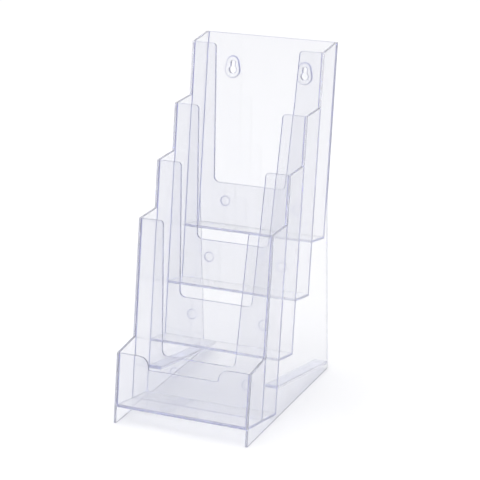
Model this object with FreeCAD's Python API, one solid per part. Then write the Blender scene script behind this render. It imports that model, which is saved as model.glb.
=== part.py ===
"""Four-tier leaflet rack in clear moulded plastic, one solid per wall.

Four leaning pockets step up and back behind a low open tray. Each pocket has a front panel with a
U-shaped cut, a floor square to the panels, and the next panel as its back wall. Two flat side panels
close the pockets, stand on the table and carry a guide rail each. The last panel has two keyholes.

Two frames are used. The row frame has +X to the right, +Y to the back and +Z up, with the origin on
the table under the middle of the bounding box. The lean frame is turned back by lean_angle about X:
x as before, s to the back along the floors, t up along the panels, from the tray floor's front edge.
"""
import FreeCAD, Part

import math
import os

# Overall sizes, in millimetres and degrees
overall_width = 110.0
lean_angle = 11.0
tray_floor_height = 14.5      # top of the tray floor above the table, at its front edge

# Walls
side_thickness = 2.0
panel_thickness = 2.0
floor_thickness = 2.0

# Tiers
tier_count = 4
pocket_pitch = 25.0           # from one front panel to the next, square to them
top_pocket_gap = 22.2         # clear gap of the last pocket
tier_rise = 41.4              # from one pocket floor to the next, along the panels
front_height = 138.0          # front panel above its own pocket floor
top_front_height = 142.6      # the same on the last pocket
back_height = 149.6           # back panel above the last pocket floor

# U-shaped cut of a front panel
cut_top_width = 69.6
cut_bottom_width = 60.0
cut_sill_height = 36.0        # bottom of the cut above the pocket floor
cut_sill_radius = 4.5
cut_mouth_radius = 3.0

# Front lip of the tray
lip_height = 39.5             # lip above the tray floor, beside its cut
lip_cut_width = 57.0
lip_cut_height = 30.0         # bottom of the lip's cut above the tray floor
lip_cut_radius = 8.0
tray_side_height = 47.4       # side wall above the tray floor where it meets the first panel

# Lower rear edge of the side panels
bend_height = 140.0           # height above which the rear edge follows the back panel
foot_tuck = 2.5               # how far the foot's rear corner lies ahead of the bend

# Guide rail on the inside of each side panel
rail_width = 10.0
rail_thickness = 2.6
rail_level = 20.6             # top of the rail above the tray floor

# Keyholes of the back panel
keyhole_spacing = 61.0
keyhole_height = 121.5        # head hole's centre above the last pocket floor
keyhole_head_diameter = 6.0
keyhole_slot_width = 3.6
keyhole_travel = 5.6          # from the head hole's centre to the slot's end centre
keyhole_rim_width = 3.2
keyhole_rim_proud = 1.0

# Round moulding marks on the back wall of each pocket
mark_spacing = 60.6
mark_height = 18.0            # centre above the pocket floor
mark_diameter = 7.5
mark_depth = 0.4

# Worked out from the sizes above
lean = math.radians(lean_angle)
inner_half_width = overall_width / 2 - side_thickness
last_front_s = tier_count * pocket_pitch
back_s = last_front_s + panel_thickness + top_pocket_gap
back_face_s = back_s + panel_thickness


def to_row(s, t):
    """Row-frame (y, z) of a lean-frame point, before the move to the middle of the box."""
    y = s * math.cos(lean) + t * math.sin(lean)
    z = tray_floor_height - s * math.sin(lean) + t * math.cos(lean)
    return y, z


def plane_y(s, z):
    """Distance y, at height z, of the leaning plane of constant s."""
    return s / math.cos(lean) + (z - tray_floor_height) * math.tan(lean)


def floor_level(tier):
    """Level t of a pocket's floor; the first pocket shares the tray's floor."""
    return (tier - 1) * tier_rise


def front_top(tier):
    """Level t of a front panel's top edge."""
    height = top_front_height if tier == tier_count else front_height
    return floor_level(tier) + height


back_top = floor_level(tier_count) + back_height
foot_front_y = plane_y(0, 0)
bend_y = plane_y(back_face_s, bend_height)
foot_back_y = bend_y - foot_tuck
centre_y = (foot_front_y + to_row(back_face_s, back_top)[0]) / 2
lean_placement = FreeCAD.Placement(
    FreeCAD.Vector(0, -centre_y, tray_floor_height),
    FreeCAD.Rotation(FreeCAD.Vector(1, 0, 0), -lean_angle),
)


def lean_box(x_low, x_high, s_low, s_high, t_low, t_high):
    """Box square to the lean frame, placed in the row frame."""
    box = Part.makeBox(x_high - x_low, s_high - s_low, t_high - t_low,
                       FreeCAD.Vector(x_low, s_low, t_low))
    return place(box)


def place(solid):
    """Solid built in the lean frame, moved to the row frame."""
    solid.transformShape(lean_placement.toMatrix())
    return solid


def rounded_face(corners):
    """Face in the x-t plane through corners (x, t, radius), each rounded by a tangent arc."""
    entries = []
    count = len(corners)
    for index, (x, t, radius) in enumerate(corners):
        here = FreeCAD.Vector(x, 0, t)
        before = FreeCAD.Vector(corners[index - 1][0], 0, corners[index - 1][1])
        after = FreeCAD.Vector(corners[(index + 1) % count][0], 0, corners[(index + 1) % count][1])
        if radius == 0:
            entries.append((here, None, here))
            continue
        back = (before - here).normalize()
        ahead = (after - here).normalize()
        half_angle = back.getAngle(ahead) / 2
        reach = radius / math.tan(half_angle)
        middle = (back + ahead).normalize()
        bulge = here + middle * (radius / math.sin(half_angle) - radius)
        entries.append((here + back * reach, bulge, here + ahead * reach))
    edges = []
    for index, (start, bulge, end) in enumerate(entries):
        if bulge is not None:
            edges.append(Part.Arc(start, bulge, end).toShape())
        edges.append(Part.LineSegment(end, entries[(index + 1) % count][0]).toShape())
    return Part.Face(Part.Wire(edges))


def teardrop(x, t_low, radius_low, t_high, radius_high, s_low, s_high):
    """Prism on the tangent outline round a large circle below and a small circle above."""
    rise = math.asin((radius_low - radius_high) / (t_high - t_low))
    across, up = math.cos(rise), math.sin(rise)

    def at(radius, centre_t, side):
        return FreeCAD.Vector(x + side * radius * across, s_low, centre_t + radius * up)

    bottom = FreeCAD.Vector(x, s_low, t_low - radius_low)
    top = FreeCAD.Vector(x, s_low, t_high + radius_high)
    outline = Part.Wire([
        Part.Arc(at(radius_low, t_low, -1), bottom, at(radius_low, t_low, 1)).toShape(),
        Part.LineSegment(at(radius_low, t_low, 1), at(radius_high, t_high, 1)).toShape(),
        Part.Arc(at(radius_high, t_high, 1), top, at(radius_high, t_high, -1)).toShape(),
        Part.LineSegment(at(radius_high, t_high, -1), at(radius_low, t_low, -1)).toShape(),
    ])
    return Part.Face(outline).extrude(FreeCAD.Vector(0, s_high - s_low, 0))


def keyhole_cut(x, t_head):
    """Round head hole with a straight slot above it, through the back panel and its rim."""
    s_low = back_s - keyhole_rim_proud
    depth = back_face_s - s_low
    back_ward = FreeCAD.Vector(0, 1, 0)
    head = Part.makeCylinder(keyhole_head_diameter / 2, depth,
                             FreeCAD.Vector(x, s_low, t_head), back_ward)
    slot_end = Part.makeCylinder(keyhole_slot_width / 2, depth,
                                 FreeCAD.Vector(x, s_low, t_head + keyhole_travel), back_ward)
    slot = Part.makeBox(keyhole_slot_width, depth, keyhole_travel,
                        FreeCAD.Vector(x - keyhole_slot_width / 2, s_low, t_head))
    return head.fuse([slot_end, slot])


def cut_marks(panel, panel_s, pocket_tier):
    """Panel with a shallow round mark near each side, on the face towards its pocket."""
    t = floor_level(pocket_tier) + mark_height
    for side in (-1, 1):
        centre = FreeCAD.Vector(side * mark_spacing / 2, panel_s, t)
        mark = Part.makeCylinder(mark_diameter / 2, mark_depth, centre, FreeCAD.Vector(0, 1, 0))
        panel = panel.cut(mark)
    return panel


def front_panel(tier):
    """Front wall of a pocket; from the second on it is also the back wall of the pocket before."""
    s = tier * pocket_pitch
    top = front_top(tier)
    sill = floor_level(tier) + cut_sill_height
    if tier == 1:
        bottom = 0.0
    else:
        bottom = floor_level(tier - 1) - floor_thickness
    face = rounded_face([
        (-inner_half_width, bottom, 0),
        (-inner_half_width, top, 0),
        (-cut_top_width / 2, top, cut_mouth_radius),
        (-cut_bottom_width / 2, sill, cut_sill_radius),
        (cut_bottom_width / 2, sill, cut_sill_radius),
        (cut_top_width / 2, top, cut_mouth_radius),
        (inner_half_width, top, 0),
        (inner_half_width, bottom, 0),
    ])
    face.translate(FreeCAD.Vector(0, s, 0))
    panel = face.extrude(FreeCAD.Vector(0, panel_thickness, 0))
    if tier > 1:
        panel = cut_marks(panel, s, tier - 1)
    return place(panel)


def front_lip():
    """Low front wall of the tray, lower in the middle, with a rounded shoulder at each side."""
    half_cut = lip_cut_width / 2
    face = rounded_face([
        (-inner_half_width, -floor_thickness, 0),
        (-inner_half_width, lip_height, 0),
        (-half_cut, lip_height, lip_cut_radius),
        (-half_cut, lip_cut_height, 0),
        (half_cut, lip_cut_height, 0),
        (half_cut, lip_height, lip_cut_radius),
        (inner_half_width, lip_height, 0),
        (inner_half_width, -floor_thickness, 0),
    ])
    return place(face.extrude(FreeCAD.Vector(0, panel_thickness, 0)))


def tray_floor():
    """Floor of the tray and of the first pocket, from the lip to the second front panel."""
    return lean_box(-inner_half_width, inner_half_width,
                    panel_thickness, 2 * pocket_pitch, -floor_thickness, 0)


def pocket_floor(tier):
    """Floor between a pocket's front panel and the next panel."""
    s_low = tier * pocket_pitch + panel_thickness
    s_high = back_s if tier == tier_count else (tier + 1) * pocket_pitch
    level = floor_level(tier)
    return lean_box(-inner_half_width, inner_half_width, s_low, s_high,
                    level - floor_thickness, level)


def back_panel():
    """Rear wall of the last pocket, with two rimmed keyholes and two round marks."""
    panel = Part.makeBox(2 * inner_half_width, panel_thickness,
                         back_height + floor_thickness,
                         FreeCAD.Vector(-inner_half_width, back_s,
                                        floor_level(tier_count) - floor_thickness))
    t_head = floor_level(tier_count) + keyhole_height
    for side in (-1, 1):
        x = side * keyhole_spacing / 2
        rim = teardrop(x, t_head, keyhole_head_diameter / 2 + keyhole_rim_width,
                       t_head + keyhole_travel, keyhole_slot_width / 2 + keyhole_rim_width,
                       back_s - keyhole_rim_proud, back_s)
        panel = panel.fuse(rim).cut(keyhole_cut(x, t_head))
    panel = cut_marks(panel.removeSplitter(), back_s, tier_count)
    return place(panel)


def side_outline():
    """Corners (y, z) of a side panel: the foot, the tray, a level step for each tier, the back."""
    corners = [(foot_front_y, 0.0), to_row(0, lip_height), to_row(pocket_pitch, tray_side_height)]
    for tier in range(1, tier_count):
        y, z = to_row(tier * pocket_pitch, front_top(tier))
        corners.append((y, z))
        corners.append((plane_y((tier + 1) * pocket_pitch, z), z))
    corners.append(to_row(last_front_s, front_top(tier_count)))
    corners.append(to_row(back_s, back_top))
    corners.append(to_row(back_face_s, back_top))
    corners.append((bend_y, bend_height))
    corners.append((foot_back_y, 0.0))
    return corners


def side_panel(side):
    """Flat wall from the table to the stepped top, on the left (-1) or the right (1)."""
    x = -overall_width / 2 if side < 0 else inner_half_width
    points = [FreeCAD.Vector(x, y - centre_y, z) for y, z in side_outline()]
    face = Part.Face(Part.makePolygon(points + points[:1]))
    return face.extrude(FreeCAD.Vector(side_thickness, 0, 0))


def rear_edge_s(t):
    """Distance s at which a line of level t, along the floors, meets the side panel's rear edge."""
    edge_slope = foot_tuck / bend_height
    y_start, z_start = to_row(0, t)
    ahead = foot_back_y + edge_slope * z_start - y_start
    return ahead / (math.cos(lean) + edge_slope * math.sin(lean))


def guide_rail(side):
    """Flat strip along the inside of a side panel, level with the floors, to the rear edge."""
    x = -inner_half_width if side < 0 else inner_half_width - rail_width
    front = 2 * pocket_pitch + panel_thickness
    bottom = rail_level - rail_thickness
    corners = [(front, bottom), (front, rail_level),
               (rear_edge_s(rail_level), rail_level), (rear_edge_s(bottom), bottom)]
    points = [FreeCAD.Vector(x, s, t) for s, t in corners]
    face = Part.Face(Part.makePolygon(points + points[:1]))
    return place(face.extrude(FreeCAD.Vector(rail_width, 0, 0)))


def build():
    """Every node of the rack, by name."""
    nodes = {
        "left_side_panel": side_panel(-1),
        "right_side_panel": side_panel(1),
        "front_lip": front_lip(),
        "tray_floor": tray_floor(),
        "back_panel": back_panel(),
        "left_guide_rail": guide_rail(-1),
        "right_guide_rail": guide_rail(1),
    }
    for tier in range(1, tier_count + 1):
        nodes[f"tier_{tier}_front"] = front_panel(tier)
    for tier in range(2, tier_count + 1):
        nodes[f"tier_{tier}_floor"] = pocket_floor(tier)
    return nodes


def main():
    """Write each node to parts/NODE.step."""
    os.makedirs("parts", exist_ok=True)
    for name, shape in build().items():
        if not shape.isValid() or len(shape.Solids) != 1:
            raise ValueError(f"{name} is not one valid solid")
        shape.Solids[0].exportStep(os.path.join("parts", name + ".step"))
        box = shape.BoundBox
        print(f"{name}: {shape.Volume:.0f} mm3, "
              f"x {box.XMin:.1f}..{box.XMax:.1f}, y {box.YMin:.1f}..{box.YMax:.1f}, "
              f"z {box.ZMin:.1f}..{box.ZMax:.1f}")


main()
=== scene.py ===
"""Four-tier leaflet rack in clear moulded plastic: the visible walls, their finish and the studio.

Every wall is a closed shell: edge profiles carried round loops, joined by flat caps, with the exact
normal of the rounded surface at each vertex. Loops lie in a wall's own plane (u, v) and w is its
depth. The lean frame is the row frame turned back about X: x across, s back along the pocket
floors, t up along the panels, from the front edge of the tray floor. Everything is in metres.
"""

import math

import bpy
import numpy as np
from mathutils import Matrix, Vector
from mathutils.geometry import delaunay_2d_cdt


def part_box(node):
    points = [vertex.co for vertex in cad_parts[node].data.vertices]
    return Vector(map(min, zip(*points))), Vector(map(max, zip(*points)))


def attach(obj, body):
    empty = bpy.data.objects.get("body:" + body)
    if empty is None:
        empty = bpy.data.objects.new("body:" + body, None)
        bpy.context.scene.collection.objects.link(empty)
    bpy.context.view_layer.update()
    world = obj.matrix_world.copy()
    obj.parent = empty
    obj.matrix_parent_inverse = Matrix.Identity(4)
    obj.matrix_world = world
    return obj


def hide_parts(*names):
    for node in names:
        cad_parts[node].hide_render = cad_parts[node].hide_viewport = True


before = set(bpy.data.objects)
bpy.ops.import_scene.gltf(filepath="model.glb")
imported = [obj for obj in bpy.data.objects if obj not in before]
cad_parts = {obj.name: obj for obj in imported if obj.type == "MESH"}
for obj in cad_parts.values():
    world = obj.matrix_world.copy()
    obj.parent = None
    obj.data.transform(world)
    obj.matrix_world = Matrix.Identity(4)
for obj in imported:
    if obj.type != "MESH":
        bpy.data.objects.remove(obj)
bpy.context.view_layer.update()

bl_info = {
    "name": "Leaflet rack",
    "version": (1, 0, 0),
    "blender": (4, 5, 0),
    "location": "3D View > Sidebar > Leaflet rack",
    "description": "Builds a clear four-tier leaflet rack around its CAD frame",
    "category": "Object",
}

MM = 0.001
TIER_COUNT = 4
CORNER_STEPS = 10            # runs in each rounded corner of an outline
EDGE_STEPS = 4               # runs in each quarter of an edge profile
MARK_SLOPE = 55              # steepest slope at a round mark's brink, in degrees
SIDE_EDGE = 0.06             # how much the side panels' edges take the edge tint (partly painted shade, partly the plastic's own blue) and the edge roughness
PANEL_EDGE = 0.12            # the same on the free edges of the front and back panels
FLOOR_EDGE = 0.2             # the same on the free edges of the floors
JOINT_EDGE = 0.75            # the same where a wall meets a side panel, and on the rails' front ends
RAIL_EDGE = 0.2              # the same on the rest of the guide rails
MARK_EDGE = 0.2              # the same on the round marks' slopes and the keyholes' rims
JOINT_REACH = 0.01 * MM      # points this near a wall's end belong to its joint
SAME_POINT = 1e-8            # two points of a loop nearer than this are one point
MARK_STEPS = 40              # runs round a round mark
RIM_STEPS = 24               # runs in each arc of a keyhole's rim
HOLE_STEPS = 16              # runs in each arc of a keyhole
WALL_WAVES = 0.045           # size of the slow waves in the walls, in metres
RAIL_WAVES = 0.02            # the same in the guide rails
RUB_SCALE = 28.0             # rubbed patches to a metre
RUB_START, RUB_FULL = 0.5, 0.75
FLOOR_CLEARANCE = 0.05 * MM  # the stage's floor lies this far below the feet
FLOOR_HALF = 12.0            # half the stage floor's side, in metres
FLOOR_LINES = 13             # points along each side of the stage floor
FIBRE_SCALE = 900.0          # paper fibres to a metre
FIBRE_SHADE = 0.98           # darkest fibre against the paper's own colour
ROOM_STRENGTH = 1.0          # brightness of the room
FRONT_SHADE = (0.84, 0.84, 0.88, 1.0)    # the room in front against the rest of it
FRONT_START, FRONT_FULL = 0.2, -0.9      # world Y direction where that shade starts and is full
LAMP_SIDE = 2.4              # side of the square lamp, in metres
LAMP_PLACE = (-0.4, 0.0, 2.6)
LAMP_AIM = (0.0, 0.0, 0.1)
LONG_BOUNCES = 128           # light goes round inside clear walls many times before it leaves
CLEAR_BOUNCES = 64
SOFT_BOUNCES = 4


# ------------------------------------------------------------------ sizes and colours

def length(name, description, millimetres):
    """Length property with its default given in millimetres."""
    return bpy.props.FloatProperty(
        name=name, description=description, default=millimetres * MM,
        min=0.0, precision=5, subtype="DISTANCE", unit="LENGTH")


def angle(name, description, degrees):
    """Angle property with its default given in degrees."""
    return bpy.props.FloatProperty(
        name=name, description=description, default=math.radians(degrees),
        subtype="ANGLE", unit="ROTATION")


def amount(name, description, default, high=1.0):
    """Plain number from zero up to a highest value."""
    return bpy.props.FloatProperty(
        name=name, description=description, default=default, min=0.0, max=high, precision=4)


def colour(name, description, default):
    """Colour property in linear red, green and blue."""
    return bpy.props.FloatVectorProperty(
        name=name, description=description, default=default, size=3,
        min=0.0, max=1.0, subtype="COLOR")


class RackSizes(bpy.types.PropertyGroup):
    """Sizes of the rack's walls."""
    lean_angle: angle("Lean angle", "Panels lean back from upright by this angle", 11.0)
    tray_floor_height: length("Tray floor height", "Top of the tray floor at its front", 14.5)
    wall: length("Wall thickness", "Thickness of every wall", 2.0)
    pitch: length("Pocket pitch", "From one front panel to the next, square to them", 25.0)
    last_gap: length("Last pocket gap", "Clear gap of the last pocket", 22.2)
    rise: length("Tier rise", "From one pocket floor to the next, along the panels", 41.4)
    front_height: length("Front height", "Front panel above its own pocket floor", 138.0)
    last_front_height: length("Last front height", "The same on the last pocket", 142.6)
    back_height: length("Back height", "Back panel above the last pocket floor", 149.6)
    cut_top: length("Cut width at top", "Width of the U-shaped cut at its mouth", 69.6)
    cut_bottom: length("Cut width at sill", "Width of the U-shaped cut at its sill", 60.0)
    cut_sill: length("Cut sill height", "Sill of the cut above the pocket floor", 36.0)
    cut_sill_radius: length("Sill radius", "Inside radius of the cut's corners", 4.5)
    cut_mouth_radius: length("Mouth radius", "Outside radius at the cut's mouth", 3.0)
    lip_height: length("Lip height", "Tray lip above its floor, beside the cut", 39.5)
    lip_cut: length("Lip cut width", "Width of the lip's low middle", 57.0)
    lip_low: length("Lip low height", "Top of the lip's low middle above the floor", 30.0)
    lip_radius: length("Lip shoulder radius", "Radius of the lip's two shoulders", 8.0)
    tray_side: length("Tray side height", "Side wall where it meets the first panel", 47.4)
    bend_height: length("Bend height", "Height where the rear edge starts to lean", 140.0)
    foot_tuck: length("Foot tuck", "Rear corner of the foot ahead of the bend", 2.5)
    rail_width: length("Rail width", "Width of a guide rail across the rack", 10.0)
    rail_thickness: length("Rail thickness", "Thickness of a guide rail", 2.6)
    rail_level: length("Rail level", "Top of a guide rail above the tray floor", 20.6)
    keyhole_spacing: length("Keyhole spacing", "Between the two keyholes", 61.0)
    keyhole_height: length("Keyhole height", "Head hole above the last pocket floor", 121.5)
    keyhole_head: length("Keyhole head", "Diameter of the head hole", 6.0)
    keyhole_slot: length("Keyhole slot", "Width of the slot", 3.6)
    keyhole_travel: length("Keyhole travel", "From the head hole to the slot's end", 5.6)
    rim_width: length("Rim width", "Width of the keyhole's raised rim", 3.2)
    rim_proud: length("Rim height", "Height of the rim above the panel", 1.0)
    mark_spacing: length("Mark spacing", "Between the two round marks of a panel", 60.6)
    mark_height: length("Mark height", "Round marks above the pocket floor", 18.0)
    mark_diameter: length("Mark diameter", "Diameter of a round mark", 7.5)
    mark_depth: length("Mark depth", "Depth of a round mark", 0.4)
    edge_radius: length("Edge radius", "Radius along every wall's edges", 0.3)
    corner_radius: length("Corner radius", "Radius of an outline's crisp corners", 0.6)
    rim_radius: length("Rim radius", "Radius round the brink and the root of a rim", 0.45)
    small_radius: length("Keyhole edge radius", "Radius round a keyhole's own edges", 0.14)
    joint_gap: length("Joint gap", "Hairline between two walls that meet", 0.03)


class PlasticFinish(bpy.types.PropertyGroup):
    """Colour and surface of the clear plastic, with painted shade in the tint of its narrow edges.
    """
    tint: colour("Tint", "Colour of light that passes a face", (0.938, 0.941, 0.956))
    # Edge shade tint: partly the plastic's own blue at its edges, partly painted shade, a darkening
    # that stands in for the light the narrow edges bend away.
    edge_shade_tint: colour("Edge shade tint", "The same on the narrow edges", (0.58, 0.62, 1.0))
    edge_roughness: amount("Edge roughness", "Roughness of the narrow edges", 0.45)
    clarity: amount("Clarity", "Share of light that isn't scattered at a face", 0.96)
    edge_clarity: amount("Edge clarity", "The same on the narrow edges", 0.74)
    absorb: colour("Depth colour", "Colour that long paths in the plastic keep",
                   (0.16, 0.22, 0.84))
    density: amount("Depth density", "How soon long paths take the depth colour", 1.8, 200.0)
    ior: amount("Refractive index", "Bending of light at the surface", 1.59, 3.0)
    roughness: amount("Roughness", "Roughness of the clean moulded surface", 0.004)
    haze: amount("Haze", "Extra roughness where leaflets have rubbed", 0.02)
    wave_height: length("Wave height", "Height of the slow waves left by moulding", 0.015)


class StudioSetting(bpy.types.PropertyGroup):
    """Camera, floor and light."""
    azimuth: angle("Azimuth", "Camera swung to the rack's right from its front", 25.32)
    elevation: angle("Elevation", "Camera above the horizon", 19.93)
    roll: angle("Roll", "Camera turned about its own axis", -1.39)
    distance: length("Distance", "From the camera to its target", 1396.4)
    target: bpy.props.FloatVectorProperty(
        name="Target", description="Point that the camera looks at",
        default=(0.0166, -0.0118, 0.1288), size=3, subtype="XYZ", unit="LENGTH")
    lens: bpy.props.FloatProperty(
        name="Lens", description="Focal length on a 36 mm sensor", default=140.68,
        min=10.0, unit="CAMERA")
    floor_colour: colour("Floor colour", "Pale seamless paper", (0.86, 0.86, 0.86))
    lamp_power: amount("Lamp power", "Power of the large soft lamp overhead", 28.0, 1000.0)


# ------------------------------------------------------------------ loops and profiles

def arc_chain(arcs, steps=CORNER_STEPS):
    """Closed loop of tangent arcs (u, v, radius, start angle, end angle) and the runs between.

    A point is its arc's centre plus the radius times (cos, sin) of the angle. Its normal points
    along that radius where the angle grows, and against it where the angle falls.
    """
    arc = np.asarray(arcs, float)
    turn = arc[:, 3, None] + (arc[:, 4] - arc[:, 3])[:, None] * np.linspace(0, 1, steps + 1)
    radial = np.stack([np.cos(turn), np.sin(turn)], axis=2)
    points = (arc[:, None, :2] + arc[:, 2, None, None] * radial).reshape(-1, 2)
    sign = np.sign(arc[:, 4] - arc[:, 3])[:, None, None]
    normals = (radial * sign).reshape(-1, 2)
    apart = np.linalg.norm(points - np.roll(points, -1, axis=0), axis=1) > SAME_POINT
    return points[apart], normals[apart]


def rounded_outline(corners):
    """Closed outline through corners (u, v, radius), each rounded by a tangent arc.

    The arc's centre lies on the corner's bisector, at the radius over the sine of half the
    corner's angle, and the arc turns through what the outline turns there.
    """
    corner = np.asarray(corners, float)
    u, v = corner[:, 0], corner[:, 1]
    if np.sum(u * np.roll(v, -1) - v * np.roll(u, -1)) < 0:
        corner = corner[::-1]
    here, radius = corner[:, :2], corner[:, 2]
    back = np.roll(here, 1, axis=0) - here
    ahead = np.roll(here, -1, axis=0) - here
    back /= np.linalg.norm(back, axis=1)[:, None]
    ahead /= np.linalg.norm(ahead, axis=1)[:, None]
    half = np.arccos(np.clip(np.sum(back * ahead, axis=1), -1, 1)) / 2
    middle = back + ahead
    middle /= np.linalg.norm(middle, axis=1)[:, None]
    centre = here + middle * (radius / np.sin(half))[:, None]
    spoke = here + back * (radius / np.tan(half))[:, None] - centre
    side = np.sign(ahead[:, 0] * back[:, 1] - ahead[:, 1] * back[:, 0])
    start = np.arctan2(spoke[:, 1], spoke[:, 0])
    return arc_chain(np.column_stack([centre, radius, start, start + side * (np.pi - 2 * half)]))


def circle(u, v, radius, steps=MARK_STEPS):
    """Circle round (u, v)."""
    return arc_chain([(u, v, radius, 0, 2 * math.pi)], steps)


def bend(offset, level, radius, start, end, steps=EDGE_STEPS):
    """Rows (offset, level, slope) of an arc in an edge profile, its slope in degrees.

    A row is the centre plus the radius times (cos, sin) of the slope. A radius below zero gives
    a hollow fillet.
    """
    slope = np.radians(np.linspace(start, end, steps + 1))
    return np.column_stack([offset + radius * np.cos(slope), level + radius * np.sin(slope), slope])


def edge_profile(radius, low, high):
    """Profile of an outer edge from a plate's low face to its high face, rounded at both."""
    return np.vstack([bend(-radius, low + radius, radius, -90, 0),
                      bend(-radius, high - radius, radius, 0, 90)])


def mark_profile(depth, steepest):
    """Profile from the low face down an S-shaped slope to the floor of a round mark.

    A round brink and an equal hollow meet halfway down, where the slope is steepest, so their
    radius is half the depth over one less the cosine of that slope.
    """
    radius = depth / 2 / (1 - math.cos(math.radians(steepest)))
    reach = radius * math.sin(math.radians(steepest))
    brink = bend(-reach, radius, radius, -90, steepest - 90)
    hollow = bend(reach, depth - radius, -radius, steepest - 90, -90)
    return np.vstack([brink, hollow[1:]])


def rim_profile(radius, proud):
    """Profile from the low face through a fillet and up over the brink of a raised rim."""
    return np.vstack([bend(radius, -radius, -radius, -90, 0),
                      bend(-radius, radius - proud, radius, 0, -90)])


class Shell:
    """Closed surface of walls, each a profile carried round a loop, and flat caps."""

    def __init__(self):
        self.points, self.normals, self.edge, self.count = [], [], [], 0
        self.faces, self.narrow = [], []

    def wall(self, loop, profile, hole=False, edge=1.0):
        """Grid of a profile carried round a loop; gives the point numbers of its end rows.

        A point is the loop's point plus the row's offset along the loop's normal, at the row's
        level. Its normal leans from the loop's normal towards w by the row's slope. The edge
        value, one number or one for each point of the loop, holds between the end rows and is
        zero on them.
        """
        points, normals = loop
        if hole:
            normals = -normals
        offset, level, slope = profile.T
        flat = points[None] + offset[:, None, None] * normals[None]
        grid = np.dstack([flat, np.broadcast_to(level[:, None], flat.shape[:2])])
        tilt = np.dstack([np.cos(slope)[:, None, None] * normals[None],
                          np.broadcast_to(np.sin(slope)[:, None], flat.shape[:2])])
        rows, columns = flat.shape[:2]
        number = self.count + np.arange(rows * columns).reshape(rows, columns)
        ahead = np.roll(number, -1, axis=1)
        quads = np.stack([number[:-1], ahead[:-1], ahead[1:], number[1:]], axis=2)
        rim = np.broadcast_to(edge, number.shape).astype(float)
        rim[[0, -1]] = 0.0
        self.edge.append(rim.ravel())
        self.points.append(grid.reshape(-1, 3))
        self.normals.append(tilt.reshape(-1, 3))
        self.faces.append(quads.reshape(-1, 4))
        self.narrow.append(np.ones(quads.size // 4, dtype=np.int32))
        self.count += rows * columns
        return number[0], number[-1]

    def cap(self, *rings):
        """Flat face inside the first ring and outside the others, cut into triangles.

        A triangle stays if a ray from its middle crosses the rings an odd number of times.
        """
        number = np.concatenate(rings)
        points = np.concatenate(self.points)[number, :2]
        edges, start = [], 0
        for ring in rings:
            here = start + np.arange(len(ring))
            edges.append(np.column_stack([here, np.roll(here, -1)]))
            start += len(ring)
        _, _, faces, origin, _, _ = delaunay_2d_cdt(
            points.tolist(), np.concatenate(edges).tolist(), [], 1, 1e-9)
        first = np.array([names[0] for names in origin])
        faces = first[np.array(faces)]
        middle = points[faces].mean(axis=1)[:, None]
        low, high = points[np.concatenate(edges)].transpose(1, 0, 2)
        rising = (low[:, 1] > middle[..., 1]) != (high[:, 1] > middle[..., 1])
        with np.errstate(divide="ignore", invalid="ignore"):
            share = (middle[..., 1] - low[:, 1]) / (high[:, 1] - low[:, 1])
            ahead = middle[..., 0] < low[:, 0] + share * (high[:, 0] - low[:, 0])
        inside = np.sum(rising & ahead, axis=1) % 2 == 1
        self.faces.append(number[faces[inside]])
        self.narrow.append(np.zeros(np.sum(inside), dtype=np.int32))

    def mesh_object(self, name, axes, origin):
        """Object whose points are the origin plus u, v and w times the three axes.

        Each face is turned so that it agrees with the normals of its own corners.
        """
        axes = np.asarray(axes, float)
        points = np.concatenate(self.points) @ axes + np.asarray(origin, float)
        normals = np.concatenate(self.normals) @ axes
        faces = []
        for block in self.faces:
            diagonal = points[block[:, 2]] - points[block[:, 0]]
            other = points[block[:, -1]] - points[block[:, 1]]
            facing = np.cross(diagonal, other) if block.shape[1] == 4 else \
                np.cross(points[block[:, 1]] - points[block[:, 0]], diagonal)
            wrong = np.sum(facing * normals[block].sum(axis=1), axis=1) < 0
            block[wrong] = block[wrong][:, ::-1]
            faces.extend(block.tolist())
        mesh = bpy.data.meshes.new(name)
        mesh.from_pydata(points.tolist(), [], faces)
        mesh.polygons.foreach_set("use_smooth", np.ones(len(faces), dtype=bool))
        mesh.polygons.foreach_set("material_index", np.concatenate(self.narrow))
        mesh.normals_split_custom_set_from_vertices(normals.tolist())
        # Edge value of each point: how much painted edge shade (the edge tint) and edge roughness
        # the finish puts there.
        edge = mesh.attributes.new("edge", "FLOAT", "POINT")
        edge.data.foreach_set("value", np.concatenate(self.edge))
        mesh.update()
        made = bpy.data.objects.new(name, mesh)
        bpy.context.scene.collection.objects.link(made)
        return made


# ------------------------------------------------------------------ places in the rack

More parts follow.
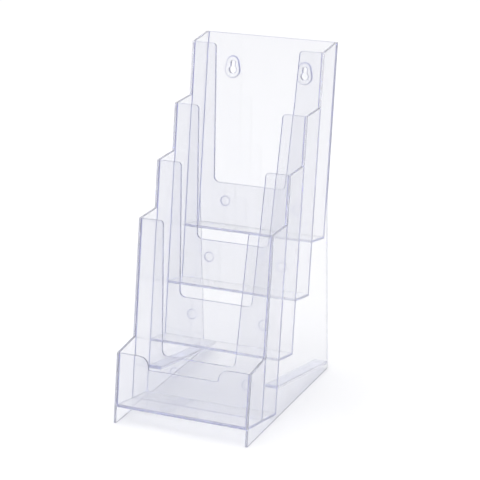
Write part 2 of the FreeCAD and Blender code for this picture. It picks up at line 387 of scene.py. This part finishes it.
class Layout:
    """Places worked out from the sizes and the CAD frame."""

    def __init__(self, sizes):
        self.sizes = sizes
        self.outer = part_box("right_side_panel")[1].x
        self.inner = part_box("right_side_panel")[0].x
        self.cos, self.sin = math.cos(sizes.lean_angle), math.sin(sizes.lean_angle)
        foot_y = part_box("left_side_panel")[0].y
        self.middle = -foot_y - sizes.tray_floor_height * self.sin / self.cos
        self.origin = (0.0, -self.middle, sizes.tray_floor_height)
        self.across = (1.0, 0.0, 0.0)
        self.back = (0.0, self.cos, -self.sin)
        self.up = (0.0, self.sin, self.cos)
        self.back_s = TIER_COUNT * sizes.pitch + sizes.wall + sizes.last_gap

    def level(self, tier):
        """Level t of a pocket's floor."""
        return (tier - 1) * self.sizes.rise

    def front_top(self, tier):
        """Level t of a front panel's top edge."""
        last = tier == TIER_COUNT
        height = self.sizes.last_front_height if last else self.sizes.front_height
        return self.level(tier) + height

    def row(self, s, t):
        """Row-frame (y, z) of a lean-frame point."""
        return (s * self.cos + t * self.sin - self.middle,
                self.sizes.tray_floor_height - s * self.sin + t * self.cos)

    def plane_y(self, s, z):
        """Row-frame y, at height z, of the leaning plane of constant s."""
        drop = z - self.sizes.tray_floor_height
        return s / self.cos + drop * self.sin / self.cos - self.middle

    def panel_origin(self, s):
        """Row-frame origin of a leaning panel's own plane."""
        y, z = self.row(s, 0.0)
        return (0.0, y, z)

    def foot_back(self):
        """Row-frame y of the foot's rear corner."""
        bend = self.plane_y(self.back_s + self.sizes.wall, self.sizes.bend_height)
        return bend - self.sizes.foot_tuck


def finish_piece(piece, node, materials):
    """Take the materials of faces and edges, ride on the one body and stand for a CAD node."""
    for material in materials:
        piece.data.materials.append(material)
    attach(piece, "root")
    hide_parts(node)


def edge_values(outline, free):
    """Edge value of each outline point: the joint's at the two ends across, and else free."""
    # The edge value sets how much edge tint, painted shade, and edge roughness a point gets; joints
    # get the most.
    across = np.abs(outline[0][:, 0])
    return np.where(across > across.max() - JOINT_REACH, JOINT_EDGE, free)


def plate(outline, thickness, radius, edge):
    """Shell with a rounded outer edge, and the point rings of its low and high faces."""
    shell = Shell()
    low, high = shell.wall(outline, edge_profile(radius, 0.0, thickness), edge=edge)
    return shell, low, high


def marks(shell, sizes, level):
    """Two shallow round marks in a panel's low face; gives their outer rings."""
    rings = []
    for side in (-1, 1):
        loop = circle(side * sizes.mark_spacing / 2, level + sizes.mark_height,
                      sizes.mark_diameter / 2)
        profile = mark_profile(sizes.mark_depth, MARK_SLOPE)
        brink, floor = shell.wall(loop, profile, hole=True, edge=MARK_EDGE)
        shell.cap(floor)
        rings.append(brink)
    return rings


def rim_loop(sizes, u, v):
    """Tangent loop round the keyhole's head below and its slot end above, a rim's width out."""
    low = sizes.keyhole_head / 2 + sizes.rim_width
    high = sizes.keyhole_slot / 2 + sizes.rim_width
    lift = math.asin((low - high) / sizes.keyhole_travel)
    return arc_chain([(u, v, low, -math.pi - lift, lift),
                      (u, v + sizes.keyhole_travel, high, lift, math.pi - lift)], RIM_STEPS)


def keyhole_loop(sizes, u, v):
    """Head circle and slot, joined at each side by a small arc that touches both."""
    head, slot = sizes.keyhole_head / 2, sizes.keyhole_slot / 2
    nick = sizes.edge_radius + sizes.small_radius
    aside = slot + nick
    above = math.sqrt((head + nick) ** 2 - aside ** 2)
    turn = math.atan2(above, aside)
    return arc_chain([
        (u, v, head, -math.pi - turn, turn),
        (u + aside, v + above, nick, math.pi + turn, math.pi),
        (u, v + sizes.keyhole_travel, slot, 0, math.pi),
        (u - aside, v + above, nick, 0, -turn),
    ], HOLE_STEPS)


# ------------------------------------------------------------------ finishes

def socket(group, name, direction, kind, default=None):
    """Named socket on a node group's interface."""
    made = group.interface.new_socket(name=name, in_out=direction, socket_type=kind)
    if default is not None:
        made.default_value = default
    return made


def moulded_surface_and_edge_shade_group():
    """Colour that turns to the edge tint towards the narrow edges, partly painted shade and partly
    the plastic's own blue, roughness that changes there too, and slow waves as a height.
    """
    group = bpy.data.node_groups.new("Moulded surface and edge shade", "ShaderNodeTree")
    socket(group, "Coordinates", "INPUT", "NodeSocketVector")
    socket(group, "Wave size", "INPUT", "NodeSocketFloat", 0.04)
    socket(group, "Wave height", "INPUT", "NodeSocketFloat", 0.000015)
    socket(group, "Clean roughness", "INPUT", "NodeSocketFloat", 0.004)
    socket(group, "Rubbed roughness", "INPUT", "NodeSocketFloat", 0.02)
    socket(group, "Edge", "INPUT", "NodeSocketFloat", 0.0)
    socket(group, "Edge roughness", "INPUT", "NodeSocketFloat", 0.45)
    socket(group, "Face tint", "INPUT", "NodeSocketColor")
    socket(group, "Edge shade tint", "INPUT", "NodeSocketColor")
    socket(group, "Color", "OUTPUT", "NodeSocketColor")
    socket(group, "Height", "OUTPUT", "NodeSocketFloat")
    socket(group, "Roughness", "OUTPUT", "NodeSocketFloat")
    nodes, links = group.nodes, group.links
    entry, leave = nodes.new("NodeGroupInput"), nodes.new("NodeGroupOutput")

    frequency = nodes.new("ShaderNodeMath")
    frequency.operation = "DIVIDE"
    frequency.inputs[0].default_value = 1.0
    links.new(entry.outputs["Wave size"], frequency.inputs[1])
    waves = nodes.new("ShaderNodeTexNoise")
    waves.inputs["Detail"].default_value = 1.0
    waves.inputs["Roughness"].default_value = 0.4
    links.new(entry.outputs["Coordinates"], waves.inputs["Vector"])
    links.new(frequency.outputs[0], waves.inputs["Scale"])
    height = nodes.new("ShaderNodeMath")
    height.operation = "MULTIPLY"
    links.new(waves.outputs["Fac"], height.inputs[0])
    links.new(entry.outputs["Wave height"], height.inputs[1])
    links.new(height.outputs[0], leave.inputs["Height"])

    rubbed = nodes.new("ShaderNodeTexNoise")
    rubbed.inputs["Scale"].default_value = RUB_SCALE
    rubbed.inputs["Detail"].default_value = 6.0
    rubbed.inputs["Roughness"].default_value = 0.62
    links.new(entry.outputs["Coordinates"], rubbed.inputs["Vector"])
    patches = nodes.new("ShaderNodeMapRange")
    patches.interpolation_type = "SMOOTHSTEP"
    patches.inputs["From Min"].default_value = RUB_START
    patches.inputs["From Max"].default_value = RUB_FULL
    links.new(rubbed.outputs["Fac"], patches.inputs["Value"])
    links.new(entry.outputs["Clean roughness"], patches.inputs["To Min"])
    links.new(entry.outputs["Rubbed roughness"], patches.inputs["To Max"])
    rough = nodes.new("ShaderNodeMix")
    links.new(entry.outputs["Edge"], rough.inputs["Factor"])
    links.new(patches.outputs["Result"], rough.inputs["A"])
    links.new(entry.outputs["Edge roughness"], rough.inputs["B"])
    links.new(rough.outputs["Result"], leave.inputs["Roughness"])
    # Painted shade: the face tint gives way to the darker, bluer edge tint as the edge value rises.
    tint = nodes.new("ShaderNodeMix")
    tint.data_type = "RGBA"
    links.new(entry.outputs["Edge"], tint.inputs[0])
    links.new(entry.outputs["Face tint"], tint.inputs[6])
    links.new(entry.outputs["Edge shade tint"], tint.inputs[7])
    links.new(tint.outputs[2], leave.inputs["Color"])
    return group


def clear_plastic(name, finish, wave_size, clarity):
    """Clear plastic: refracting, tinted in its depth, with moulding waves, rubbed patches and
    painted shade on its narrow edges.
    """
    made = bpy.data.materials.get(name)
    if made:
        return made
    made = bpy.data.materials.new(name)
    made.use_nodes = True
    nodes, links = made.node_tree.nodes, made.node_tree.links
    nodes.clear()
    output = nodes.new("ShaderNodeOutputMaterial")
    shader = nodes.new("ShaderNodeBsdfPrincipled")
    shader.inputs["Metallic"].default_value = 0.0
    shader.inputs["IOR"].default_value = finish.ior
    shader.inputs["Transmission Weight"].default_value = clarity
    links.new(shader.outputs["BSDF"], output.inputs["Surface"])
    depth = nodes.new("ShaderNodeVolumeAbsorption")
    depth.inputs["Color"].default_value = (*finish.absorb, 1.0)
    depth.inputs["Density"].default_value = finish.density
    links.new(depth.outputs["Volume"], output.inputs["Volume"])

    place = nodes.new("ShaderNodeTexCoord")
    surface = nodes.new("ShaderNodeGroup")
    surface.node_tree = bpy.data.node_groups.get("Moulded surface and edge shade") or moulded_surface_and_edge_shade_group()
    surface.inputs["Wave size"].default_value = wave_size
    surface.inputs["Wave height"].default_value = finish.wave_height
    surface.inputs["Clean roughness"].default_value = finish.roughness
    surface.inputs["Rubbed roughness"].default_value = finish.roughness + finish.haze
    surface.inputs["Edge roughness"].default_value = finish.edge_roughness
    surface.inputs["Face tint"].default_value = (*finish.tint, 1.0)
    # Edge shade tint: painted shade of the narrow edges, along with the plastic's own blue there.
    surface.inputs["Edge shade tint"].default_value = (*finish.edge_shade_tint, 1.0)
    edge = nodes.new("ShaderNodeAttribute")
    edge.attribute_name = "edge"
    links.new(edge.outputs["Fac"], surface.inputs["Edge"])
    links.new(place.outputs["Object"], surface.inputs["Coordinates"])
    links.new(surface.outputs["Color"], shader.inputs["Base Color"])
    links.new(surface.outputs["Roughness"], shader.inputs["Roughness"])
    bump = nodes.new("ShaderNodeBump")
    bump.inputs["Distance"].default_value = 1.0
    links.new(surface.outputs["Height"], bump.inputs["Height"])
    links.new(bump.outputs["Normal"], shader.inputs["Normal"])
    return made


def wall_plastic(finish):
    """Finish of the rack's walls: clear faces and cloudier narrow edges."""
    return (clear_plastic("clear_wall_plastic", finish, WALL_WAVES, finish.clarity),
            clear_plastic("clear_wall_edge", finish, WALL_WAVES, finish.edge_clarity))


def rail_plastic(finish):
    """The same for the guide rails, with shorter waves."""
    return (clear_plastic("clear_rail_plastic", finish, RAIL_WAVES, finish.clarity),
            clear_plastic("clear_rail_edge", finish, RAIL_WAVES, finish.edge_clarity))


# ------------------------------------------------------------------ operators

class RACK_OT_side_panels(bpy.types.Operator):
    """Build the two flat side panels from their stepped outline"""
    bl_idname = "rack.side_panels"
    bl_label = "Side panels"
    bl_options = {"REGISTER", "UNDO"}

    def execute(self, context):
        sizes, finish = context.scene.rack_sizes, context.scene.rack_finish
        layout = Layout(sizes)
        crisp = sizes.corner_radius
        corners = [(layout.plane_y(0, 0), 0.0), layout.row(0, sizes.lip_height),
                   layout.row(sizes.pitch, sizes.tray_side)]
        for tier in range(1, TIER_COUNT):
            y, z = layout.row(tier * sizes.pitch, layout.front_top(tier))
            corners += [(y, z), (layout.plane_y((tier + 1) * sizes.pitch, z), z)]
        back_top = layout.level(TIER_COUNT) + sizes.back_height
        back_face = layout.back_s + sizes.wall
        corners += [layout.row(TIER_COUNT * sizes.pitch, layout.front_top(TIER_COUNT)),
                    layout.row(layout.back_s, back_top), layout.row(back_face, back_top),
                    (layout.plane_y(back_face, sizes.bend_height), sizes.bend_height),
                    (layout.foot_back(), 0.0)]
        outline = rounded_outline([(y, z, crisp) for y, z in corners])
        thickness = layout.outer - layout.inner
        for node, start in (("left_side_panel", -layout.outer), ("right_side_panel", layout.inner)):
            shell, low, high = plate(outline, thickness, sizes.edge_radius, SIDE_EDGE)
            shell.cap(low)
            shell.cap(high)
            piece = shell.mesh_object(node + "_clear", ((0, 1, 0), (0, 0, 1), (1, 0, 0)),
                                      (start, 0.0, 0.0))
            finish_piece(piece, node, wall_plastic(finish))
        return {"FINISHED"}


class RACK_OT_tray(bpy.types.Operator):
    """Build the tray's front lip with its two shoulders, and the tray floor"""
    bl_idname = "rack.tray"
    bl_label = "Tray"
    bl_options = {"REGISTER", "UNDO"}

    def execute(self, context):
        sizes, finish = context.scene.rack_sizes, context.scene.rack_finish
        layout = Layout(sizes)
        side, crisp = layout.inner - sizes.joint_gap, sizes.corner_radius
        cut = sizes.lip_cut / 2
        outline = rounded_outline([
            (-side, -sizes.wall, crisp), (side, -sizes.wall, crisp),
            (side, sizes.lip_height, crisp), (cut, sizes.lip_height, sizes.lip_radius),
            (cut, sizes.lip_low, crisp), (-cut, sizes.lip_low, crisp),
            (-cut, sizes.lip_height, sizes.lip_radius), (-side, sizes.lip_height, crisp),
        ])
        shell, low, high = plate(outline, sizes.wall, sizes.edge_radius,
                             edge_values(outline, PANEL_EDGE))
        shell.cap(low)
        shell.cap(high)
        piece = shell.mesh_object("front_lip_clear", (layout.across, layout.up, layout.back),
                                  layout.panel_origin(0.0))
        finish_piece(piece, "front_lip", wall_plastic(finish))
        floor_plate(finish, sizes, layout, "tray_floor", sizes.wall, 2 * sizes.pitch, 0.0)
        return {"FINISHED"}


def floor_plate(finish, sizes, layout, node, start, end, level):
    """Flat floor between two panels, its top at the given level."""
    gap, crisp = sizes.joint_gap, sizes.corner_radius
    side, low_s, high_s = layout.inner - gap, start + gap, end - gap
    outline = rounded_outline([(-side, low_s, crisp), (side, low_s, crisp),
                               (side, high_s, crisp), (-side, high_s, crisp)])
    shell, low, high = plate(outline, sizes.wall, sizes.edge_radius,
                             edge_values(outline, FLOOR_EDGE))
    shell.cap(low)
    shell.cap(high)
    y, z = layout.row(0.0, level - sizes.wall)
    piece = shell.mesh_object(node + "_clear", (layout.across, layout.back, layout.up), (0, y, z))
    finish_piece(piece, node, wall_plastic(finish))


class RACK_OT_pocket_fronts(bpy.types.Operator):
    """Build the four front panels with their U-shaped cuts and round marks"""
    bl_idname = "rack.pocket_fronts"
    bl_label = "Pocket fronts"
    bl_options = {"REGISTER", "UNDO"}

    def execute(self, context):
        sizes, finish = context.scene.rack_sizes, context.scene.rack_finish
        layout = Layout(sizes)
        side, crisp = layout.inner - sizes.joint_gap, sizes.corner_radius
        for tier in range(1, TIER_COUNT + 1):
            top = layout.front_top(tier)
            sill = layout.level(tier) + sizes.cut_sill
            if tier == 1:
                bottom = sizes.joint_gap
            else:
                bottom = layout.level(tier - 1) - sizes.wall
            outline = rounded_outline([
                (-side, bottom, crisp), (side, bottom, crisp), (side, top, crisp),
                (sizes.cut_top / 2, top, sizes.cut_mouth_radius),
                (sizes.cut_bottom / 2, sill, sizes.cut_sill_radius),
                (-sizes.cut_bottom / 2, sill, sizes.cut_sill_radius),
                (-sizes.cut_top / 2, top, sizes.cut_mouth_radius), (-side, top, crisp),
            ])
            shell, low, high = plate(outline, sizes.wall, sizes.edge_radius,
                             edge_values(outline, PANEL_EDGE))
            rings = marks(shell, sizes, layout.level(tier - 1)) if tier > 1 else []
            shell.cap(low, *rings)
            shell.cap(high)
            node = f"tier_{tier}_front"
            piece = shell.mesh_object(node + "_clear", (layout.across, layout.up, layout.back),
                                      layout.panel_origin(tier * sizes.pitch))
            finish_piece(piece, node, wall_plastic(finish))
        return {"FINISHED"}


class RACK_OT_pocket_floors(bpy.types.Operator):
    """Build the floors of the second to the fourth pocket"""
    bl_idname = "rack.pocket_floors"
    bl_label = "Pocket floors"
    bl_options = {"REGISTER", "UNDO"}

    def execute(self, context):
        sizes, finish = context.scene.rack_sizes, context.scene.rack_finish
        layout = Layout(sizes)
        for tier in range(2, TIER_COUNT + 1):
            start = tier * sizes.pitch + sizes.wall
            end = layout.back_s if tier == TIER_COUNT else (tier + 1) * sizes.pitch
            floor_plate(finish, sizes, layout, f"tier_{tier}_floor", start, end,
                        layout.level(tier))
        return {"FINISHED"}


class RACK_OT_back_panel(bpy.types.Operator):
    """Build the back panel with its rimmed keyholes and round marks"""
    bl_idname = "rack.back_panel"
    bl_label = "Back panel"
    bl_options = {"REGISTER", "UNDO"}

    def execute(self, context):
        sizes, finish = context.scene.rack_sizes, context.scene.rack_finish
        layout = Layout(sizes)
        side, crisp = layout.inner - sizes.joint_gap, sizes.corner_radius
        level = layout.level(TIER_COUNT)
        bottom, top = level - sizes.wall, level + sizes.back_height
        outline = rounded_outline([(-side, bottom, crisp), (side, bottom, crisp),
                                   (side, top, crisp), (-side, top, crisp)])
        shell, low, high = plate(outline, sizes.wall, sizes.edge_radius,
                             edge_values(outline, PANEL_EDGE))
        rings, holes = marks(shell, sizes, level), []
        small, soft = sizes.small_radius, sizes.rim_radius
        for sign in (-1, 1):
            u, v = sign * sizes.keyhole_spacing / 2, level + sizes.keyhole_height
            base, brink = shell.wall(rim_loop(sizes, u, v),
                                     rim_profile(soft, sizes.rim_proud), edge=MARK_EDGE)
            mouth, rear = shell.wall(keyhole_loop(sizes, u, v),
                                     edge_profile(small, -sizes.rim_proud, sizes.wall),
                                     hole=True, edge=MARK_EDGE)
            shell.cap(brink, mouth)
            rings.append(base)
            holes.append(rear)
        shell.cap(low, *rings)
        shell.cap(high, *holes)
        piece = shell.mesh_object("back_panel_clear", (layout.across, layout.up, layout.back),
                                  layout.panel_origin(layout.back_s))
        finish_piece(piece, "back_panel", wall_plastic(finish))
        return {"FINISHED"}


class RACK_OT_guide_rails(bpy.types.Operator):
    """Build the flat guide rail on the inside of each side panel"""
    bl_idname = "rack.guide_rails"
    bl_label = "Guide rails"
    bl_options = {"REGISTER", "UNDO"}

    def execute(self, context):
        sizes, finish = context.scene.rack_sizes, context.scene.rack_finish
        layout = Layout(sizes)
        gap, crisp = sizes.joint_gap, sizes.corner_radius
        front = 2 * sizes.pitch + sizes.wall + gap
        bottom = sizes.rail_level - sizes.rail_thickness
        slope = sizes.foot_tuck / sizes.bend_height
        levels = np.array([bottom, sizes.rail_level])
        start_y, start_z = layout.row(0.0, levels)
        ends = (layout.foot_back() + slope * start_z - start_y) / (layout.cos + slope * layout.sin)
        outline = rounded_outline([(front, bottom, crisp), (ends[0], bottom, crisp),
                                   (ends[1], sizes.rail_level, crisp),
                                   (front, sizes.rail_level, crisp)])
        width = sizes.rail_width - gap
        # Painted shade: the rails' front ends take the darker, bluer joint edge value, and the rest
        # takes the rails' own.
        rail_edge_shade = np.where(outline[0][:, 0] < front + crisp, JOINT_EDGE, RAIL_EDGE)
        for node, start in (("left_guide_rail", gap - layout.inner),
                            ("right_guide_rail", layout.inner - sizes.rail_width)):
            shell, low, high = plate(outline, width, sizes.edge_radius, rail_edge_shade)
            shell.cap(low)
            shell.cap(high)
            piece = shell.mesh_object(node + "_clear", (layout.back, layout.up, layout.across),
                                      (start, layout.origin[1], layout.origin[2]))
            finish_piece(piece, node, rail_plastic(finish))
        return {"FINISHED"}


class RACK_OT_studio(bpy.types.Operator):
    """Build the pale floor, the soft light and the camera"""
    bl_idname = "rack.studio"
    bl_label = "Studio"
    bl_options = {"REGISTER", "UNDO"}

    def execute(self, context):
        scene, studio = context.scene, context.scene.rack_studio
        add_camera(scene, studio)
        add_floor(scene, studio)
        add_light(scene, studio)
        scene.view_settings.view_transform = "Standard"
        cycles = scene.cycles
        cycles.max_bounces = LONG_BOUNCES
        cycles.glossy_bounces = LONG_BOUNCES
        cycles.transmission_bounces = CLEAR_BOUNCES
        cycles.diffuse_bounces = SOFT_BOUNCES
        cycles.blur_glossy = 0.0
        cycles.use_denoising = True
        return {"FINISHED"}


def add_camera(scene, studio):
    """Camera on a sphere round its target: swung, raised, then rolled about its own axis."""
    azimuth, elevation, roll = studio.azimuth, studio.elevation, studio.roll
    away = np.array([math.sin(azimuth) * math.cos(elevation),
                     -math.cos(azimuth) * math.cos(elevation), math.sin(elevation)])
    across = np.cross((0, 0, 1), away)
    across /= np.linalg.norm(across)
    upward = np.cross(away, across)
    right = math.cos(roll) * across + math.sin(roll) * upward
    top = -math.sin(roll) * across + math.cos(roll) * upward
    pose = np.eye(4)
    pose[:3, 0], pose[:3, 1], pose[:3, 2] = right, top, away
    pose[:3, 3] = np.array(studio.target) + away * studio.distance
    data = bpy.data.cameras.new("Camera")
    data.sensor_width = 36.0
    data.lens = studio.lens
    data.clip_end = 100.0
    camera = bpy.data.objects.new("Camera", data)
    camera.matrix_world = Matrix(pose.tolist())
    scene.collection.objects.link(camera)
    scene.camera = camera


def add_floor(scene, studio):
    """Large flat sheet of pale paper just below the feet."""
    line = np.linspace(-FLOOR_HALF, FLOOR_HALF, FLOOR_LINES)
    x, y = np.meshgrid(line, line)
    points = np.column_stack([x.ravel(), y.ravel(), np.full(x.size, -FLOOR_CLEARANCE)])
    number = np.arange(x.size).reshape(FLOOR_LINES, FLOOR_LINES)
    quads = np.stack([number[:-1, :-1], number[:-1, 1:], number[1:, 1:], number[1:, :-1]], axis=2)
    mesh = bpy.data.meshes.new("studio_floor")
    mesh.from_pydata(points.tolist(), [], quads.reshape(-1, 4).tolist())
    floor = bpy.data.objects.new("studio_floor", mesh)
    scene.collection.objects.link(floor)

    paper = bpy.data.materials.new("pale_paper")
    paper.use_nodes = True
    nodes, links = paper.node_tree.nodes, paper.node_tree.links
    shader = nodes["Principled BSDF"]
    shader.inputs["Roughness"].default_value = 0.9
    shader.inputs["Specular IOR Level"].default_value = 0.2
    place = nodes.new("ShaderNodeTexCoord")
    fibre = nodes.new("ShaderNodeTexNoise")
    fibre.inputs["Scale"].default_value = FIBRE_SCALE
    links.new(place.outputs["Object"], fibre.inputs["Vector"])
    shade = nodes.new("ShaderNodeMix")
    shade.data_type = "RGBA"
    shade.inputs[6].default_value = (*studio.floor_colour, 1.0)
    shade.inputs[7].default_value = (*(FIBRE_SHADE * c for c in studio.floor_colour), 1.0)
    links.new(fibre.outputs["Fac"], shade.inputs[0])
    links.new(shade.outputs[2], shader.inputs["Base Color"])
    mesh.materials.append(paper)


def add_light(scene, studio):
    """Pale room, a little darker in front, with one large soft lamp overhead."""
    world = bpy.data.worlds.new("Room")
    scene.world = world
    world.use_nodes = True
    nodes, links = world.node_tree.nodes, world.node_tree.links
    room = nodes["Background"]
    place = nodes.new("ShaderNodeTexCoord")
    split = nodes.new("ShaderNodeSeparateXYZ")
    links.new(place.outputs["Generated"], split.inputs[0])
    front = nodes.new("ShaderNodeMapRange")
    front.interpolation_type = "SMOOTHSTEP"
    front.inputs["From Min"].default_value = FRONT_START
    front.inputs["From Max"].default_value = FRONT_FULL
    links.new(split.outputs["Y"], front.inputs["Value"])
    shade = nodes.new("ShaderNodeMix")
    shade.data_type = "RGBA"
    shade.inputs[6].default_value = (1.0, 1.0, 1.0, 1.0)
    shade.inputs[7].default_value = FRONT_SHADE
    links.new(front.outputs["Result"], shade.inputs[0])
    links.new(shade.outputs[2], room.inputs["Color"])
    room.inputs["Strength"].default_value = ROOM_STRENGTH

    data = bpy.data.lights.new("Overhead", "AREA")
    data.shape = "SQUARE"
    data.size = LAMP_SIDE
    data.energy = studio.lamp_power
    lamp = bpy.data.objects.new("Overhead", data)
    place_at, look = np.array(LAMP_PLACE), np.array(LAMP_AIM)
    away = (place_at - look) / np.linalg.norm(place_at - look)
    across = np.cross((0, 1, 0), away)
    across /= np.linalg.norm(across)
    pose = np.eye(4)
    pose[:3, 0], pose[:3, 1], pose[:3, 2] = across, np.cross(away, across), away
    pose[:3, 3] = place_at
    lamp.matrix_world = Matrix(pose.tolist())
    scene.collection.objects.link(lamp)


class VIEW3D_PT_rack(bpy.types.Panel):
    """Sizes, finish, studio and the operators that build them"""
    bl_label = "Leaflet rack"
    bl_space_type = "VIEW_3D"
    bl_region_type = "UI"
    bl_category = "Leaflet rack"

    def draw(self, context):
        layout, scene = self.layout, context.scene
        for group in (scene.rack_sizes, scene.rack_finish, scene.rack_studio):
            box = layout.box()
            for name in group.__annotations__:
                box.prop(group, name)
        for step in BUILD_STEPS:
            layout.operator(step.bl_idname)


BUILD_STEPS = (RACK_OT_studio, RACK_OT_side_panels, RACK_OT_tray, RACK_OT_pocket_fronts,
               RACK_OT_pocket_floors, RACK_OT_back_panel, RACK_OT_guide_rails)
CLASSES = (RackSizes, PlasticFinish, StudioSetting, *BUILD_STEPS, VIEW3D_PT_rack)


def register():
    for kind in CLASSES:
        bpy.utils.register_class(kind)
    bpy.types.Scene.rack_sizes = bpy.props.PointerProperty(type=RackSizes)
    bpy.types.Scene.rack_finish = bpy.props.PointerProperty(type=PlasticFinish)
    bpy.types.Scene.rack_studio = bpy.props.PointerProperty(type=StudioSetting)


def unregister():
    del bpy.types.Scene.rack_studio
    del bpy.types.Scene.rack_finish
    del bpy.types.Scene.rack_sizes
    for kind in reversed(CLASSES):
        bpy.utils.unregister_class(kind)


def main():
    """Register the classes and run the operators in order."""
    register()
    for step in BUILD_STEPS:
        section, name = step.bl_idname.split(".")
        getattr(getattr(bpy.ops, section), name)()


if __name__ == "__main__":
    main()
